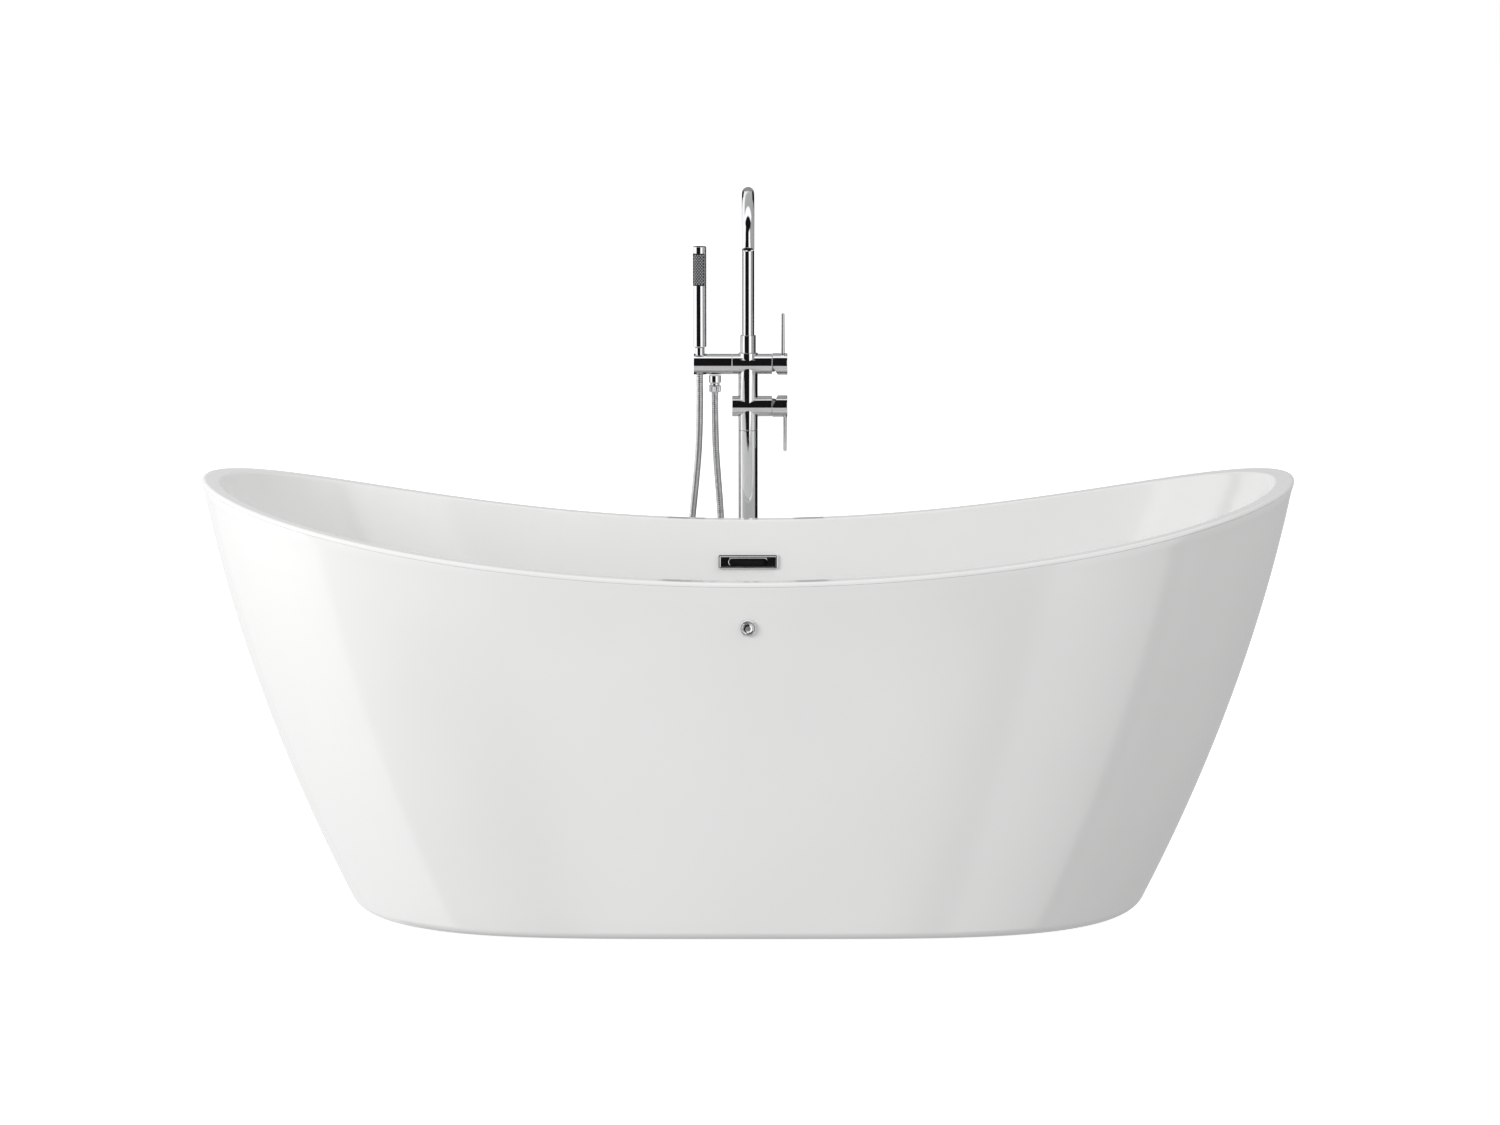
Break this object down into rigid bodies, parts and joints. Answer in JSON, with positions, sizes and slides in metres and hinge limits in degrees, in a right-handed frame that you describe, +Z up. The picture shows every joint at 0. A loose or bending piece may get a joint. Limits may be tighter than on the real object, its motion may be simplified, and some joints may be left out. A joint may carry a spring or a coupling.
{
  "type": "freestanding bathtub",
  "caption": "Oval double-ended freestanding bathtub with raised ends, centre waste and overflow, and a floor-standing filler with swivel spout, lever valves, hand shower and hose.",
  "frame": {"origin": "floor level, at the middle of the tub and filler's shared bounding box", "axes": "+X along the tub's length (to the right seen from the button side), +Y towards the filler, +Z up"},
  "size_m": [1.8, 0.9369, 1.163],
  "materials": {
    "shell_acrylic": "polished white sanitary acrylic",
    "floor_board": "raw particle board",
    "black_rubber": "moulded matt",
    "zinc_steel": "zinc plated",
    "brass_pipe": "drawn",
    "hose_steel": "interlocked ribbed sheath",
    "fitting_plastic": "moulded",
    "black_plastic": "moulded",
    "chrome_plate": "polished chrome plate"
  },
  "bodies": {
    "tub": {"button_barrel": "fitting_plastic", "button_bezel": "chrome_plate", "filler_anchor_1": "zinc_steel", "filler_anchor_2": "zinc_steel", "filler_anchor_3": "zinc_steel", "filler_base_cover": "chrome_plate", "filler_base_plate": "zinc_steel", "filler_body": "chrome_plate", "filler_cold_pipe": "brass_pipe", "filler_collar": "chrome_plate", "filler_column": "chrome_plate", "filler_diverter_cartridge": "fitting_plastic", "filler_holder": "chrome_plate", "filler_hose": "hose_steel", "filler_hose_nut": "chrome_plate", "filler_hot_pipe": "brass_pipe", "filler_mixer_cartridge": "fitting_plastic", "filler_outlet": "chrome_plate", "foot_front_left_nut": "zinc_steel", "foot_front_right_nut": "zinc_steel", "foot_rear_left_nut": "zinc_steel", "foot_rear_right_nut": "zinc_steel", "frame_cross_left": "zinc_steel", "frame_cross_right": "zinc_steel", "frame_rail_front": "zinc_steel", "frame_rail_rear": "zinc_steel", "overflow_body": "black_plastic", "overflow_pipe": "fitting_plastic", "overflow_plate": "chrome_plate", "tub_basin": "shell_acrylic", "tub_floor_board": "floor_board", "tub_skirt": "shell_acrylic", "waste_body": "fitting_plastic", "waste_flange": "chrome_plate", "waste_gasket": "black_rubber", "waste_outlet": "fitting_plastic", "waste_trap": "fitting_plastic"},
    "waste_plug": {"waste_plug": "chrome_plate"},
    "button_cap": {"button_cap": "chrome_plate"},
    "filler_spout": {"filler_spout": "chrome_plate", "filler_aerator": "black_plastic"},
    "filler_mixer_ball": {"filler_mixer_ball": "zinc_steel"},
    "filler_mixer_handle": {"filler_mixer_handle": "chrome_plate", "filler_mixer_lever": "chrome_plate"},
    "filler_diverter_ball": {"filler_diverter_ball": "zinc_steel"},
    "filler_diverter_handle": {"filler_diverter_handle": "chrome_plate", "filler_diverter_lever": "chrome_plate"},
    "filler_hand_shower": {"filler_hand_shower": "chrome_plate", "filler_spray_face": "black_rubber", "filler_hose_cone": "chrome_plate"},
    "foot_front_left": {"foot_front_left_pad": "black_rubber", "foot_front_left_stud": "zinc_steel"},
    "foot_front_right": {"foot_front_right_pad": "black_rubber", "foot_front_right_stud": "zinc_steel"},
    "foot_rear_left": {"foot_rear_left_pad": "black_rubber", "foot_rear_left_stud": "zinc_steel"},
    "foot_rear_right": {"foot_rear_right_pad": "black_rubber", "foot_rear_right_stud": "zinc_steel"}
  },
  "joints": [
    {"name": "waste_plug_lift", "type": "slide", "parent": "tub", "child": "waste_plug", "axis": [0, 0, 1], "range_m": [0, 0.009]},
    {"name": "button_press", "type": "slide", "parent": "tub", "child": "button_cap", "axis": [0, 0.9987, 0.0517], "range_m": [0, 0.003], "stiffness_N_per_m": 400, "springref_m": -0.004},
    {"name": "spout_swivel", "type": "hinge", "parent": "tub", "child": "filler_spout", "pos_m": [0, 0.411, 0.9], "axis": [0, 0, 1], "range_deg": [-90, 90]},
    {"name": "mixer_temperature", "type": "hinge", "parent": "tub", "child": "filler_mixer_ball", "pos_m": [0.042, 0.411, 0.772], "axis": [1, 0, 0], "range_deg": [-50, 50]},
    {"name": "mixer_flow", "type": "hinge", "parent": "filler_mixer_ball", "child": "filler_mixer_handle", "pos_m": [0.042, 0.411, 0.772], "axis": [0, -1, 0], "range_deg": [0, 25]},
    {"name": "diverter_temperature", "type": "hinge", "parent": "tub", "child": "filler_diverter_ball", "pos_m": [0.042, 0.411, 0.846], "axis": [1, 0, 0], "range_deg": [-50, 50]},
    {"name": "diverter_flow", "type": "hinge", "parent": "filler_diverter_ball", "child": "filler_diverter_handle", "pos_m": [0.042, 0.411, 0.846], "axis": [0, 1, 0], "range_deg": [0, 25]},
    {"name": "hand_shower_lift", "type": "slide", "parent": "tub", "child": "filler_hand_shower", "axis": [0, 0, 1], "range_m": [0, 0.1]},
    {"name": "foot_front_left_level", "type": "slide", "parent": "tub", "child": "foot_front_left", "axis": [0, 0, -1], "range_m": [0, 0.015]},
    {"name": "foot_front_right_level", "type": "slide", "parent": "tub", "child": "foot_front_right", "axis": [0, 0, -1], "range_m": [0, 0.015]},
    {"name": "foot_rear_left_level", "type": "slide", "parent": "tub", "child": "foot_rear_left", "axis": [0, 0, -1], "range_m": [0, 0.015]},
    {"name": "foot_rear_right_level", "type": "slide", "parent": "tub", "child": "foot_rear_right", "axis": [0, 0, -1], "range_m": [0, 0.015]}
  ]
}
